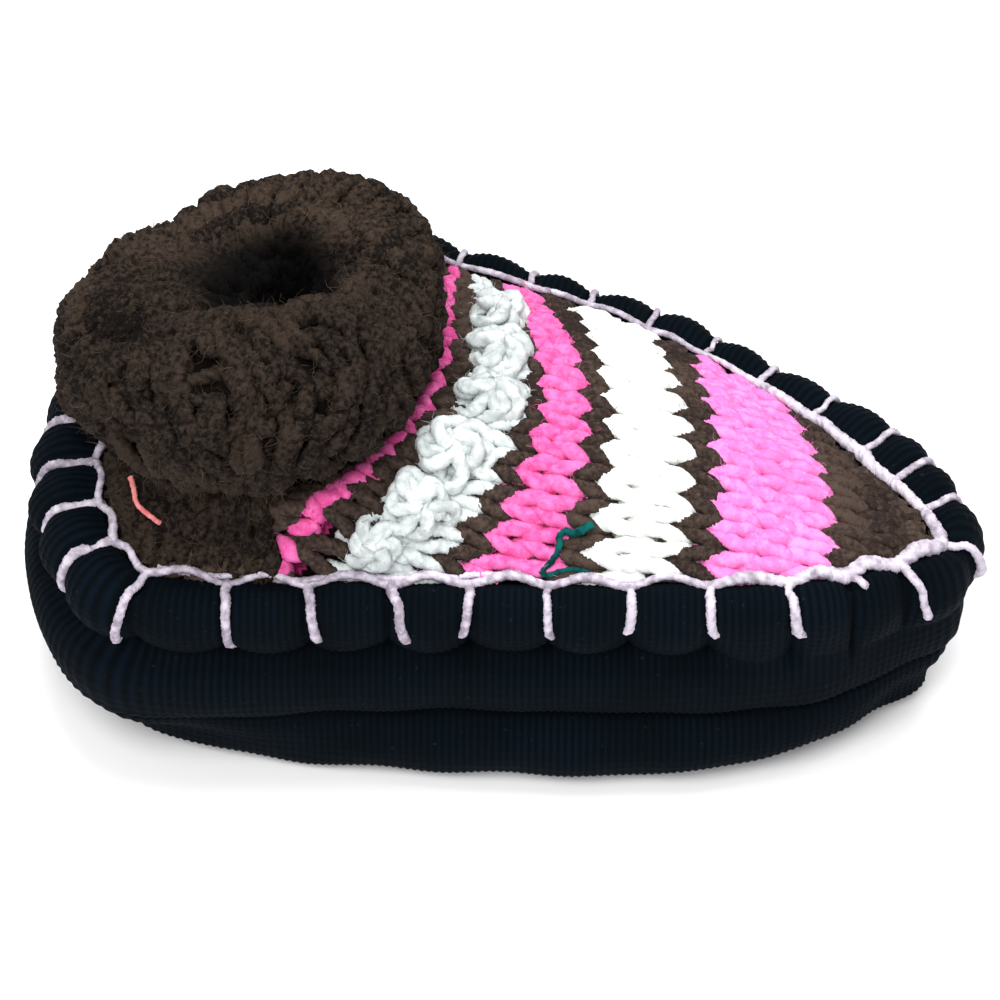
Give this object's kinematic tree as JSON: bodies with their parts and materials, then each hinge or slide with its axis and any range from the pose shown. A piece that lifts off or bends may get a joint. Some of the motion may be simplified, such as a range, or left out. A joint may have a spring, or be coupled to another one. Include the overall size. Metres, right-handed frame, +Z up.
{
  "type": "knitted slipper",
  "caption": "Baby's hand-knitted slipper with a thick padded sole band, striped knit upper and fat folded rib cuff.",
  "frame": {"origin": "on the floor under the middle of the slipper's box", "axes": "+X to the toe, +Y to the outer side of a left foot, +Z up"},
  "size_m": [0.1184, 0.0652, 0.0677],
  "materials": {
    "sole_pad": "black rib knit over foam",
    "padded_band": "black rib knit over wadding",
    "insole": "dark felt",
    "upper": "hand-knitted chunky yarn in stripes",
    "rib_cuff": "brown ribbed hand knit"
  },
  "bodies": {
    "root": {"sole_pad": "sole_pad", "padded_band": "padded_band", "insole": "insole", "upper": "upper", "rib_cuff": "rib_cuff"}
  },
  "joints": []
}
